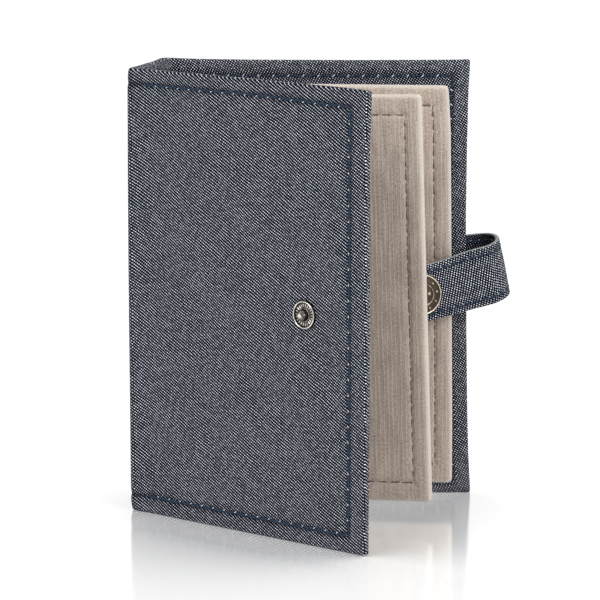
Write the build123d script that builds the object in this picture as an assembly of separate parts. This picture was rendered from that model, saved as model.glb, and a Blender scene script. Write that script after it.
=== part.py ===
from build123d import *
import math
import os

# Earring book: two cloth covers on a cloth spine, two padded leaves, and a curled strap with a press stud.
# Millimetres. The origin is the middle of the spine's bottom edge, in the plane of the two cover hinges.
# +X runs from the spine to the fore edges, +Y to the back cover and +Z up.

# Covers and spine
book_height = 160.0
cover_width = 110.2
spine_width = 36.0
board_thickness = 2.0
cloth_thickness = 0.5
lining_thickness = 0.4
turn_in_width = 12.0
lining_inset = 3.0
cover_corner_radius = 1.6
cloth_edge_chamfer = 0.35
hinge_gap = 0.3

# Pose in which the book stands, as angles from the square closed book
front_cover_angle = -24.2
back_cover_angle = 16.7
leaf_angles = [0.6, 12.5]

# Leaves
leaf_roots = [-6.0, 6.0]
leaf_width = 95.5
leaf_edge_clearance = 7.7
leaf_leans = [2.2, 0.0]
leaf_board_thickness = 1.0
pad_thickness = 1.3
pad_corner_radius = 2.6
pad_edge_radius = 0.9
crown_height = 0.35
crown_slope = 75.0
sewn_line_inset = 7.0
sewn_channel_width = 1.0
sewn_channel_depth = 0.45
strip_reach = 6.0
strip_thickness = 0.8
strip_end_inset = 7.0
binding_foot_width = 8.0
binding_foot_thickness = 0.4
fold_gap = 0.3

# Strap
strap_width = 20.0
ply_thickness = 0.8
strap_height = 85.1
strap_base_length = 36.0
strap_corner_radius = 3.0
strap_lift = 0.3
strap_fold_gap = 0.7
curl_radius = 11.3
curl_turn = 156.0
strap_run = 25.4
strap_tail = 9.0
strap_tail_radius = 7.0
curl_axis_tilt = 6.3
strap_droop = 8.0

# Press stud
stud_from_fore_edge = 27.3
stud_height = 81.2
post_radius = 1.5
post_clearance = 0.1
drill_length = 12.0
stud_flange_radius = 5.0
stud_flange_thickness = 1.1
stud_rim_width = 0.8
stud_rim_softness = 0.25
stud_recess_depth = 0.6
stud_neck_radius = 1.6
stud_neck_height = 1.4
stud_ball_radius = 2.0
stud_ball_height = 2.4
stud_ball_flat = 1.2
stud_rib_count = 16
stud_rib_width = 0.35
stud_rib_height = 0.3
eyelet_radius = 4.7
eyelet_thickness = 0.6
cap_radius = 7.5
cap_rim_height = 0.9
cap_dome_height = 1.5
cap_ring_radius = 4.2
cap_ring_width = 0.7
cap_ring_top_width = 0.35
cap_ring_height = 0.2
cap_pip_count = 10
cap_pip_radius = 0.4
cap_pip_height = 0.2
cap_pip_circle = 5.8
socket_radius = 5.8
socket_height = 2.7
socket_base_thickness = 0.5
socket_edge_radius = 0.6
socket_clearance = 0.25
spring_wire_radius = 0.3
spring_leg_length = 4.0
spring_room_clearance = 0.05

cover_thickness = board_thickness + 2 * cloth_thickness
half_cover = cover_thickness / 2
half_board = board_thickness / 2
lining_face = half_cover + lining_thickness
hinge_offset = spine_width / 2 - half_cover
cover_start = half_cover + hinge_gap
strap_thickness = 2 * ply_thickness
strap_span = 2 * (curl_radius + strap_run)
half_strip = strip_thickness / 2
half_leaf_board = leaf_board_thickness / 2
leaf_start = half_strip + fold_gap
foot_face = lining_face + binding_foot_thickness
strip_root = foot_face + fold_gap + half_strip
strip_low = leaf_edge_clearance + strip_end_inset
strip_high = book_height - strip_low
fold_end = ply_thickness + strap_fold_gap
stud_along = cover_width - stud_from_fore_edge
spring_leg = spring_leg_length / 2
spring_offset = stud_ball_radius + spring_wire_radius
spring_reach = spring_leg + spring_offset
spring_level = -ply_thickness - socket_height + socket_edge_radius + spring_wire_radius
hole_radius = post_radius + post_clearance

# Places. A cover or leaf is built along X from its own hinge, and then turned to its angle.
upright = Rot(90, 0, 0)
outward = Rot(-90, 0, 0)
front_place = Pos(0, -hinge_offset, 0) * Rot(0, 0, front_cover_angle)
back_place = Pos(0, hinge_offset, 0) * Rot(0, 0, back_cover_angle)
stud_place = front_place * Pos(stud_along, 0, stud_height) * upright
strap_middle = half_cover + strap_lift + ply_thickness
strap_fold_place = Pos(cover_width, strap_middle, strap_height) * Rot(0, -curl_axis_tilt, 0)


def block(x_low, x_high, y_low, y_high, z_low, z_high):
    """A box between two corners."""
    centre = Pos((x_low + x_high) / 2, (y_low + y_high) / 2, (z_low + z_high) / 2)
    return centre * Box(x_high - x_low, y_high - y_low, z_high - z_low)


def turned(*profile):
    """A solid of revolution about Z from points of radius and height."""
    section = Plane.XZ * make_face(Polyline(*profile, close=True))
    return revolve(section, Axis.Z)


# Covers, with the outer face towards -Y and the lining towards +Y


def cover_board():
    """Stiff board inside the cloth."""
    return block(
        cover_start + cloth_thickness,
        cover_width - cloth_thickness,
        -half_board,
        half_board,
        cloth_thickness,
        book_height - cloth_thickness,
    )


def cover_window():
    """Opening inside the turned-in cloth, where the lining is glued to the board."""
    return block(
        cover_start + turn_in_width,
        cover_width - turn_in_width,
        half_board,
        half_cover,
        turn_in_width,
        book_height - turn_in_width,
    )


def cover_cloth():
    """Outer cloth, wrapped round the board's edges and turned in behind the lining."""
    wrap = block(cover_start, cover_width, -half_cover, half_cover, 0, book_height)
    fore_corners = wrap.edges().filter_by(Axis.Y).group_by(Axis.X)[-1]
    wrap = fillet(fore_corners, cover_corner_radius)
    outer_edges = wrap.faces().sort_by(Axis.Y)[0].edges()
    wrap = chamfer(outer_edges, cloth_edge_chamfer)
    return wrap - cover_board() - cover_window()


def cover_lining():
    """Lining sheet, glued to the board and over the turned-in cloth."""
    sheet = block(
        cover_start + lining_inset,
        cover_width - lining_inset,
        half_cover,
        lining_face,
        lining_inset,
        book_height - lining_inset,
    )
    return sheet + cover_window()


def post_hole():
    """Round hole through the front cover for the stud's post."""
    return Pos(stud_along, 0, stud_height) * upright * Cylinder(hole_radius, drill_length)


# Spine, with its outer face towards -X


def spine_board():
    """Stiff board in the spine."""
    half_width = hinge_offset - cloth_thickness
    return block(
        -half_board, half_board, -half_width, half_width, cloth_thickness, book_height - cloth_thickness
    )


def spine_window():
    """Opening between the spine's turned-in ends, where the lining is glued to the board."""
    half_width = hinge_offset - lining_inset
    return block(
        half_board, half_cover, -half_width, half_width, turn_in_width, book_height - turn_in_width
    )


def spine_cloth():
    """Outer cloth of the spine, with the rounded folds that the covers hinge on."""
    wrap = block(-half_cover, half_cover, -hinge_offset, hinge_offset, 0, book_height)
    for side in (-1, 1):
        wrap += Pos(0, side * hinge_offset, book_height / 2) * Cylinder(half_cover, book_height)
    return wrap - spine_board() - spine_window()


def spine_lining():
    """Lining sheet inside the spine."""
    half_width = hinge_offset - lining_inset
    sheet = block(
        half_cover, lining_face, -half_width, half_width, lining_inset, book_height - lining_inset
    )
    return sheet + spine_window()


# Leaves, drawn flat in X and Y with their front face up, and then stood upright


def leaf_outline(lean, inset):
    """Leaf outline, with a fore edge that may lean out of square towards the bottom."""
    low = leaf_edge_clearance + inset
    high = book_height - leaf_edge_clearance - inset
    outer = leaf_start + leaf_width - inset
    shift = lean * (high - low) / (book_height - 2 * leaf_edge_clearance)
    corners = [(leaf_start + inset, low), (outer + shift, low), (outer - shift, high)]
    return make_face(Polyline(*corners, (leaf_start + inset, high), close=True))


def leaf_board(lean):
    """Stiff core of a leaf."""
    core = extrude(leaf_outline(lean, 0), amount=half_leaf_board, both=True)
    core = fillet(core.edges().filter_by(Axis.Z), pad_corner_radius)
    return upright * core


def leaf_pad(lean, side):
    """Velvet over thin foam on one face of a leaf, with its sewn channel and the low crown inside it."""
    pad = extrude(leaf_outline(lean, 0), amount=pad_thickness)
    pad = fillet(pad.edges().filter_by(Axis.Z), pad_corner_radius)
    pad = fillet(pad.faces().sort_by(Axis.Z)[-1].edges(), pad_edge_radius)
    outside = leaf_outline(lean, sewn_line_inset - sewn_channel_width / 2)
    inside = leaf_outline(lean, sewn_line_inset + sewn_channel_width / 2)
    channel = extrude(outside - inside, amount=pad_thickness)
    pad -= Pos(0, 0, pad_thickness - sewn_channel_depth) * channel
    pad += Pos(0, 0, pad_thickness) * extrude(inside, amount=crown_height, taper=crown_slope)
    pad = Pos(0, 0, half_leaf_board) * pad
    if side < 0:
        pad = mirror(pad, about=Plane.XY)
    return upright * pad


def hinge_strip():
    """Cloth strip that joins a leaf to the spine, with a rounded fold at each end."""
    strip = block(0, strip_reach, -half_strip, half_strip, strip_low, strip_high)
    for along in (0, strip_reach):
        fold = Cylinder(half_strip, strip_high - strip_low)
        strip += Pos(along, 0, book_height / 2) * fold
    return strip


def binding_foot(across):
    """Foot of a hinge strip, glued to the spine's lining."""
    half_foot = binding_foot_width / 2
    return block(lining_face, foot_face, across - half_foot, across + half_foot, strip_low, strip_high)


# Strap. Its free part has X leaving the cover, Y out of the strap's outer side and Z along the curl's axis.


def strap_base_ply(number):
    """One ply of the sewn end of the strap, on the back cover's outer face."""
    near = half_cover + number * ply_thickness
    low = strap_height - strap_width / 2
    start = cover_width - strap_base_length
    ply = block(start, cover_width, near, near + ply_thickness, low, low + strap_width)
    sewn_corners = ply.edges().filter_by(Axis.Y).group_by(Axis.X)[0]
    ply = fillet(sewn_corners, strap_corner_radius)
    fold_room = block(-fold_end, strap_width, -strap_width, strap_width, -strap_width, strap_width)
    return ply - strap_fold_place * fold_room


def on_curl(offset, angle):
    """Point on the curl at an offset from its middle surface and an angle from the fold."""
    reach = curl_radius + offset
    turn = math.radians(angle)
    return (reach * math.sin(turn), reach * math.cos(turn) - curl_radius)


def curl_plan(low, high, end):
    """Plan of the curl between two offsets, from the fold to an angle."""
    outer = ThreePointArc(on_curl(high, 0), on_curl(high, end / 2), on_curl(high, end))
    inner = ThreePointArc(on_curl(low, end), on_curl(low, end / 2), on_curl(low, 0))
    start_side = Line(on_curl(low, 0), on_curl(high, 0))
    end_side = Line(on_curl(high, end), on_curl(low, end))
    return make_face([start_side, outer, end_side, inner])


def fold_plan(side):
    """Plan of one ply's quarter of the rounded end at a fold."""
    quarter = Pos(-ply_thickness / 2, side * ply_thickness / 2) * Rectangle(ply_thickness, ply_thickness)
    return Circle(ply_thickness) & quarter


def ply_offsets(side):
    """Offsets of a ply's two faces from the strap's middle surface."""
    return (0, ply_thickness) if side > 0 else (-ply_thickness, 0)


def band(plan):
    """A strip of the strap's width, raised from its plan between its drooping edges."""
    keep = Rot(strap_droop, 0, 0) * Box(2 * strap_span, 2 * strap_span, strap_width)
    return extrude(plan, amount=strap_width, both=True) & keep


def strap_curl_ply(side):
    """One ply of the curled part of the strap."""
    end = curl_turn - math.degrees(fold_end / curl_radius)
    return band(curl_plan(*ply_offsets(side), end) + fold_plan(side))


def tip_place():
    """Place of the straight run, at the end of the curl, with X along the run in plan."""
    x, y = on_curl(0, curl_turn)
    return Pos(x, y, y * math.tan(math.radians(strap_droop))) * Rot(0, 0, -curl_turn)


def cap_place():
    """Place of the cap's middle, with X along the drooping run and Y out of the strap's outer side."""
    slope = math.sin(math.radians(curl_turn)) * math.tan(math.radians(strap_droop))
    pitch = math.degrees(math.atan(slope))
    return tip_place() * Rot(0, pitch, 0) * Pos(strap_run, 0, 0)


def strap_tip_ply(side):
    """One ply of the straight end of the strap, with a rounded tail and the hole for the cap's post."""
    length = strap_run + strap_tail
    low, high = ply_offsets(side)
    plan = Pos(length / 2, (low + high) / 2) * Rectangle(length, ply_thickness)
    x, y = on_curl(0, curl_turn)
    ply = band(Pos(x, y) * Rot(0, 0, -curl_turn) * (plan + fold_plan(side)))
    half_width = strap_width / 2
    tail = block(-strap_span, strap_tail, -curl_radius, curl_radius, -half_width, half_width)
    tail = fillet(tail.edges().filter_by(Axis.Y).group_by(Axis.X)[-1], strap_tail_radius)
    start = block(-strap_span, 0, -curl_radius, curl_radius, -strap_width, strap_width)
    hole = outward * Cylinder(hole_radius, drill_length)
    return ply & (cap_place() * (tail + start)) - cap_place() * hole


# Press stud, each piece with its axis along Z


def snap_stud():
    """Ball stud of the front cover, in a flange with a rolled rim and a ribbed recess."""
    floor = stud_flange_thickness - stud_recess_depth
    rim = stud_flange_radius - stud_rim_width
    soft = stud_rim_softness
    stud = turned(
        (0, 0),
        (stud_flange_radius, 0),
        (stud_flange_radius, stud_flange_thickness - soft),
        (stud_flange_radius - soft, stud_flange_thickness),
        (rim, stud_flange_thickness),
        (rim, floor),
        (0, floor),
    )
    ball_middle = floor + stud_neck_height
    stud += Pos(0, 0, floor + stud_neck_height / 2) * Cylinder(stud_neck_radius, stud_neck_height)
    half_ball = stud_ball_height / 2
    bottom = (stud_ball_flat, -half_ball)
    top = (stud_ball_flat, half_ball)
    side = ThreePointArc(bottom, (stud_ball_radius, 0), top)
    ball = make_face([side, Polyline(top, (0, half_ball), (0, -half_ball), bottom)])
    stud += Pos(0, 0, ball_middle) * revolve(Plane.XZ * ball, Axis.Z)
    inner = stud_neck_radius + stud_rib_width
    outer = rim - stud_rib_width
    half_rib = stud_rib_width / 2
    rib = block(inner, outer, -half_rib, half_rib, floor, floor + stud_rib_height)
    for number in range(stud_rib_count):
        stud += Rot(0, 0, number * 360 / stud_rib_count) * rib
    return stud


def snap_eyelet():
    """Eyelet inside the front cover, whose post reaches through to the stud."""
    flange_top = -lining_face
    flange_bottom = flange_top - eyelet_thickness
    soft = eyelet_thickness / 2
    return turned(
        (0, flange_bottom),
        (eyelet_radius - soft, flange_bottom),
        (eyelet_radius, flange_bottom + soft),
        (eyelet_radius, flange_top),
        (post_radius, flange_top),
        (post_radius, half_cover),
        (0, half_cover),
    )


def cap_dome_level(radius):
    """Height of the cap's dome at a radius."""
    sphere = (cap_radius**2 + cap_dome_height**2) / (2 * cap_dome_height)
    middle = cap_rim_height + cap_dome_height - sphere
    return middle + math.sqrt(sphere**2 - radius**2)


def snap_cap():
    """Domed cap of the strap, with a plain bead, a ring of pips and the post through the strap."""
    crown = (0, cap_rim_height + cap_dome_height)
    rim = (cap_radius, cap_rim_height)
    dome = ThreePointArc(rim, (cap_radius / 2, cap_dome_level(cap_radius / 2)), crown)
    sides = Polyline(crown, (0, 0), (cap_radius, 0), rim)
    cap = revolve(Plane.XZ * make_face([dome, sides]), Axis.Z)
    ring_inside = cap_ring_radius - cap_ring_width / 2
    ring_outside = cap_ring_radius + cap_ring_width / 2
    ring_top = cap_dome_level(cap_ring_radius) + cap_ring_height
    cap += turned(
        (ring_inside, cap_rim_height),
        (ring_outside, cap_rim_height),
        (cap_ring_radius + cap_ring_top_width / 2, ring_top),
        (cap_ring_radius - cap_ring_top_width / 2, ring_top),
    )
    pip_top = cap_dome_level(cap_pip_circle) + cap_pip_height
    pip_body = Cylinder(cap_pip_radius, pip_top, align=(Align.CENTER, Align.CENTER, Align.MIN))
    for number in range(cap_pip_count):
        cap += Rot(0, 0, number * 360 / cap_pip_count) * Pos(cap_pip_circle, 0, 0) * pip_body
    post = Pos(0, 0, -strap_thickness / 2) * Cylinder(post_radius, strap_thickness)
    return Pos(0, 0, ply_thickness) * (cap + post)


def snap_spring():
    """Hairpin spring, with a leg each side of the ball and a bend that joins them."""
    first = Line((-spring_offset, -spring_leg), (-spring_offset, spring_leg))
    bend = ThreePointArc((-spring_offset, spring_leg), (0, spring_reach), (spring_offset, spring_leg))
    last = Line((spring_offset, spring_leg), (spring_offset, -spring_leg))
    section = Pos(-spring_offset, -spring_leg) * upright * Circle(spring_wire_radius)
    return Pos(0, 0, spring_level) * sweep(section, path=Wire([first, bend, last]))


def snap_socket():
    """Socket inside the strap, with the bore for the ball and the flat room that holds the spring."""
    top = -ply_thickness
    bottom = top - socket_height
    bore = stud_ball_radius + socket_clearance
    socket = turned(
        (0, top),
        (socket_radius, top),
        (socket_radius, bottom + socket_edge_radius),
        (socket_radius - socket_edge_radius, bottom),
        (bore, bottom),
        (bore, top - socket_base_thickness),
        (0, top - socket_base_thickness),
    )
    half_room = spring_wire_radius + spring_room_clearance
    room_radius = spring_reach + half_room
    return socket - Pos(0, 0, spring_level) * Cylinder(room_radius, 2 * half_room)


def write(name, solid):
    """Write one named piece."""
    export_step(solid, f"parts/{name}.step")


os.makedirs("parts", exist_ok=True)

front_hole = post_hole()
write("front_cover_board", front_place * (cover_board() - front_hole))
write("front_cover_cloth", front_place * (cover_cloth() - front_hole))
write("front_cover_lining", front_place * (cover_lining() - front_hole))
write("snap_stud", stud_place * Pos(0, 0, half_cover) * snap_stud())
write("snap_eyelet", stud_place * snap_eyelet())

write("spine_board", spine_board())
write("spine_cloth", spine_cloth())
write("spine_lining", spine_lining())

write("back_cover_board", back_place * mirror(cover_board(), about=Plane.XZ))
write("back_cover_cloth", back_place * mirror(cover_cloth(), about=Plane.XZ))
write("back_cover_lining", back_place * mirror(cover_lining(), about=Plane.XZ))
write("strap_base_inner_ply", back_place * strap_base_ply(0))
write("strap_base_outer_ply", back_place * strap_base_ply(1))

curl_place = back_place * strap_fold_place
write("strap_curl_inner_ply", curl_place * strap_curl_ply(-1))
write("strap_curl_outer_ply", curl_place * strap_curl_ply(1))
write("strap_tip_inner_ply", curl_place * strap_tip_ply(-1))
write("strap_tip_outer_ply", curl_place * strap_tip_ply(1))
snap_place = curl_place * cap_place() * outward
write("snap_cap", snap_place * snap_cap())
write("snap_socket", snap_place * snap_socket())
write("snap_spring", snap_place * snap_spring())

for number, (across, angle, lean) in enumerate(zip(leaf_roots, leaf_angles, leaf_leans), start=1):
    root_place = Pos(strip_root, across, 0) * Rot(0, 0, angle)
    leaf_place = root_place * Pos(strip_reach, 0, 0)
    write(f"leaf_{number}_binding_foot", binding_foot(across))
    write(f"leaf_{number}_hinge_strip", root_place * hinge_strip())
    write(f"leaf_{number}_board", leaf_place * leaf_board(lean))
    write(f"leaf_{number}_front_pad", leaf_place * leaf_pad(lean, 1))
    write(f"leaf_{number}_back_pad", leaf_place * leaf_pad(lean, -1))
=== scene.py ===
import math

import bpy
import numpy as np
from mathutils import Matrix, Vector


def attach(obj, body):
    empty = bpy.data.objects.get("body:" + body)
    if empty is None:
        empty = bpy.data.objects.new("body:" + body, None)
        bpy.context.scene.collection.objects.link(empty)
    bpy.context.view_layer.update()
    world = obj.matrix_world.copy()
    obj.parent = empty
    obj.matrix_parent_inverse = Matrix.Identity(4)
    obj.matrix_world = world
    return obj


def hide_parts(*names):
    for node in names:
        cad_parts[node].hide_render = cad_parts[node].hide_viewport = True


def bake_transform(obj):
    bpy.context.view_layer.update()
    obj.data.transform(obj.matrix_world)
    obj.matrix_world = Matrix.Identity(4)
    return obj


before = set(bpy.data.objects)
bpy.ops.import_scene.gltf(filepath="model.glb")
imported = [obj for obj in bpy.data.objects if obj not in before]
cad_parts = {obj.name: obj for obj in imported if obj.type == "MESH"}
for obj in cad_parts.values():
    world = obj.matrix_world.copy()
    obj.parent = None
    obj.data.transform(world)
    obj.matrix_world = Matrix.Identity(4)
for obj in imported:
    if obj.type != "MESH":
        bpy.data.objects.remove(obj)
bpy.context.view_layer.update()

# Earring book: cloth covers with a stitched border, two velvet leaves, a curled strap and a press stud.
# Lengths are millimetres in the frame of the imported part. Every mesh is scaled to metres when it is made.
MM = 0.001
WEAVE_MAP = "weave"


def linked(name, data):
    """A new object in the scene."""
    made = bpy.data.objects.new(name, data)
    bpy.context.scene.collection.objects.link(made)
    return made


# Camera
camera_place = (532.4, -1468.7, 343.54)
camera_azimuth = 17.96
camera_pitch = 9.80
camera_roll = -0.08
camera_lens = 263.48
sensor_width = 36.0

camera_data = bpy.data.cameras.new("camera")
camera_data.lens = camera_lens
camera_data.sensor_width = sensor_width
camera_data.clip_start = 0.05
camera_data.clip_end = 60.0
camera = linked("camera", camera_data)
camera.matrix_world = (
    Matrix.Translation(Vector(camera_place) * MM)
    @ Matrix.Rotation(math.radians(camera_azimuth), 4, "Z")
    @ Matrix.Rotation(math.radians(90 - camera_pitch), 4, "X")
    @ Matrix.Rotation(math.radians(camera_roll), 4, "Z")
)
bpy.context.scene.camera = camera

# Sizes of the part
height = 160.0
cover_reach = 110.2
hinge_across = 16.5
half_cover = 1.5
lining_face = 1.9
fold_radius = 2.4
front_angle = -24.2
back_angle = 16.7
fore_corner = 1.0
strap_level = 85.1

# Steps of the meshes' grids
fine_step = 0.4
cover_step = 2.2
height_step = 1.25
leaf_step = 1.2
strap_step = 0.9
strap_fine_step = 0.3
tape_step = 4.0


# Plan and place helpers


def smooth(low, high, values):
    """Smooth step from 0 at low to 1 at high, which may be the smaller of the two."""
    share = np.clip((values - low) / (high - low), 0, 1)
    return share * share * (3 - 2 * share)


def moved(x, y, z):
    """Shift as a 4 x 4 array."""
    return np.array(Matrix.Translation((x, y, z)))


def turned(angle, axis):
    """Rotation in degrees as a 4 x 4 array."""
    return np.array(Matrix.Rotation(math.radians(angle), 4, axis))


def put(place, x, y, z):
    """Points with these coordinates in a place, as an array whose last axis is x, y, z."""
    x, y, z = np.broadcast_arrays(x, y, z)
    local = np.stack([x, y, z, np.ones_like(x, float)], -1)
    return (local @ place.T)[..., :3]


roll_turns = (0, 20, 38, 54, 70, 90)
least_gap = 0.02


def lines(low, high, step, fine=(), edges=(0, 0)):
    """Grid lines between two ends, finer in bands of (middle, half width, step) and round rolled edges."""
    found = list(np.linspace(low, high, int(math.ceil((high - low) / step)) + 1))
    for middle, half, small in fine:
        found += list(np.arange(middle - half, middle + half + small / 2, small))
    roll = 1 - np.cos(np.radians(roll_turns))
    if edges[0]:
        found += list(low + edges[0] * roll)
    if edges[1]:
        found += list(high - edges[1] * roll)
    found = np.array(sorted(v for v in found if low <= v <= high))
    gaps = np.diff(found, prepend=low - 1)
    kept = found[gaps > least_gap]
    kept[-1] = high
    return kept


def rounded(u, v, box, radius):
    """The grid with its square corners drawn in to arcs."""
    centre_u = np.clip(u, box[0] + radius, box[1] - radius)
    centre_v = np.clip(v, box[2] + radius, box[3] - radius)
    x = (u - centre_u) / radius
    y = (v - centre_v) / radius
    return centre_u + radius * x * np.sqrt(1 - y * y / 2), centre_v + radius * y * np.sqrt(1 - x * x / 2)


def rim_distance(u, v, box, radius):
    """Distance of each point from the outline."""
    in_u = np.minimum(u - box[0], box[1] - u)
    in_v = np.minimum(v - box[2], box[3] - v)
    corner = radius - np.hypot(radius - np.minimum(in_u, radius), radius - np.minimum(in_v, radius))
    return np.where((in_u < radius) & (in_v < radius), corner, np.minimum(in_u, in_v))


def rolled(distance, radius):
    """How far a rolled edge drops below the face at a distance from the outline."""
    inside = np.clip(1 - distance / radius, 0, 1)
    return radius * (1 - np.sqrt(np.clip(1 - inside * inside, 0, 1)))


def new_piece(name, points, faces, corner_uv, material, marks=None):
    """A smooth mesh object from points, faces and one flat coordinate for each face corner."""
    mesh = bpy.data.meshes.new(name)
    mesh.from_pydata((np.asarray(points) * MM).tolist(), [], [list(map(int, f)) for f in faces])
    layer = mesh.uv_layers.new(name=WEAVE_MAP)
    layer.data.foreach_set("uv", np.asarray(corner_uv, np.float32).ravel())
    for word, values in (marks or {}).items():
        attribute = mesh.attributes.new(word, "FLOAT", "POINT")
        attribute.data.foreach_set("value", np.asarray(values, np.float32).ravel())
    mesh.polygons.foreach_set("use_smooth", np.ones(len(mesh.polygons), bool))
    mesh.materials.append(material)
    mesh.validate()
    return linked(name, mesh)


def volume_sign(points, faces):
    """Sign of the volume that the faces enclose."""
    p = np.asarray(points)[np.asarray(faces)]
    first = np.einsum("ij,ij->i", p[:, 0], np.cross(p[:, 1], p[:, 2])).sum()
    second = np.einsum("ij,ij->i", p[:, 0], np.cross(p[:, 2], p[:, 3])).sum()
    return np.sign(first + second)


def sheet_faces(rows, columns):
    """A closed sheet's upper, lower and rim faces, and its outline's points with their followers."""
    index = np.arange(rows * columns).reshape(rows, columns)
    quads = np.stack([index[:-1, :-1], index[1:, :-1], index[1:, 1:], index[:-1, 1:]], -1).reshape(-1, 4)
    loop = np.concatenate([index[:, 0], index[-1, 1:], index[-2::-1, -1], index[0, -2:0:-1]])
    follow = np.roll(loop, -1)
    below = rows * columns
    rim = np.stack([follow, loop, loop + below, follow + below], -1)
    return quads, quads[:, ::-1] + below, rim, loop, follow


def slab(name, u, v, outer, inner, place, material, outer_uv, inner_uv, marks=None, under=None):
    """A closed sheet between two offset faces. under has the marks that differ on the inner face."""
    top = place(u, v, outer).reshape(-1, 3)
    bottom = place(u, v, inner).reshape(-1, 3)
    quads, below, rim, loop, follow = sheet_faces(*u.shape)
    flat_outer = outer_uv(u, v).reshape(-1, 2)
    flat_inner = inner_uv(u, v).reshape(-1, 2)
    thickness = np.linalg.norm(top[loop] - bottom[loop], axis=1).mean()
    near, far = flat_outer[loop], flat_outer[follow]
    length = far - near
    out = np.stack([length[:, 1], -length[:, 0]], -1)
    out /= np.linalg.norm(out, axis=1, keepdims=True) + 1e-9
    rim_uv = np.stack([far, near, near + thickness * out, far + thickness * out], 1)
    points = np.concatenate([top, bottom])
    faces = np.concatenate([quads, below, rim])
    uv = np.concatenate([flat_outer[quads], flat_inner[quads[:, ::-1]], rim_uv])
    if volume_sign(points, faces) < 0:
        faces = faces[:, ::-1]
        uv = uv[:, ::-1]
    marks = marks or {}
    under = marks | (under or {})
    both = {word: np.concatenate([values.ravel(), under[word].ravel()]) for word, values in marks.items()}
    return new_piece(name, points, faces, uv, material, both)


def grid(us, vs, outline, radius):
    """Flat coordinates of a sheet with round corners, and each point's distance from its outline."""
    u, v = rounded(*np.meshgrid(us, vs, indexing="ij"), outline, radius)
    return u, v, rim_distance(u, v, outline, radius)


def straight_uv(u, v):
    """Weave that runs with the sheet."""
    return np.stack([u, v], -1)


def waves(u, v, size, seed):
    """Low soft unevenness, the same each time."""
    source = np.random.default_rng(seed)
    total = np.zeros_like(u, float)
    for _ in range(7):
        across, along, phase = source.uniform(-1, 1), source.uniform(-1, 1), source.uniform(0, 2 * math.pi)
        total += np.sin(2 * math.pi * (across * u + along * v) / size + phase)
    return total / 7


# Materials


def join(tree, value, socket):
    """Links a socket, or sets a number or colour."""
    if isinstance(value, bpy.types.NodeSocket):
        tree.links.new(value, socket)
    else:
        socket.default_value = value


def added(tree, kind, **values):
    """A shader node with these values in its sockets."""
    node = tree.nodes.new(f"ShaderNode{kind}")
    for word, value in values.items():
        join(tree, value, node.inputs[word])
    return node


def calc(tree, operation, *values):
    """A math node."""
    node = added(tree, "Math")
    node.operation = operation
    for value, socket in zip(values, node.inputs):
        join(tree, value, socket)
    return node.outputs[0]


def times(tree, *values):
    """A product."""
    return calc(tree, "MULTIPLY", *values)


def plus(tree, *values):
    """A sum."""
    return calc(tree, "ADD", *values)


def ranged(tree, value, low, high, to_low=0.0, to_high=1.0):
    """A smooth map range node."""
    node = added(tree, "MapRange")
    node.interpolation_type = "SMOOTHSTEP"
    keys = ("Value", "From Min", "From Max", "To Min", "To Max")
    for key, item in zip(keys, (value, low, high, to_low, to_high)):
        join(tree, item, node.inputs[key])
    return node.outputs["Result"]


def mixed(tree, share, first, second):
    """A mix of two colours."""
    node = added(tree, "Mix")
    node.data_type = "RGBA"
    for key, value in (("Factor", share), ("A", first), ("B", second)):
        join(tree, value, node.inputs[key])
    return node.outputs["Result"]


def noise(tree, vector, scale, detail=2.0, roughness=0.5):
    """A noise value."""
    node = added(tree, "TexNoise", Vector=vector, Scale=scale, Detail=detail, Roughness=roughness)
    return node.outputs["Fac"]


def stretched(tree, vector, scale):
    """A vector scaled on each axis."""
    return added(tree, "Mapping", Vector=vector, Scale=scale).outputs["Vector"]


def raised(tree, relief, distance, strength):
    """A bump normal."""
    return added(tree, "Bump", Height=relief, Distance=distance, Strength=strength).outputs["Normal"]


def new_material(name, **settings):
    """A material with its shader's plain settings made."""
    material = bpy.data.materials.new(name)
    material.use_nodes = True
    shader = material.node_tree.nodes["Principled BSDF"]
    for key, value in settings.items():
        shader.inputs[key.replace("_", " ")].default_value = value
    return material, material.node_tree, shader


def flat_map(tree):
    """The sheet's flat coordinates in millimetres."""
    node = added(tree, "UVMap")
    node.uv_map = WEAVE_MAP
    return node.outputs["UV"]


def split(tree, vector):
    """The first two parts of a vector."""
    node = added(tree, "SeparateXYZ")
    join(tree, vector, node.inputs[0])
    return node.outputs["X"], node.outputs["Y"]


def marked(tree, word):
    """A value kept at the mesh's points."""
    node = added(tree, "Attribute")
    node.attribute_name = word
    return node.outputs["Fac"]


plum_tint = (0.0036, 0.0010, 0.0030, 0.0)
least_crossing = 0.46
slub_range = (0.84, 1.12)
# How far painted shade dims the weave where it is marked.
painted_shade_strength = 0.75
edge_wear = (0.27, 0.295, 0.29, 1.0)


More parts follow.
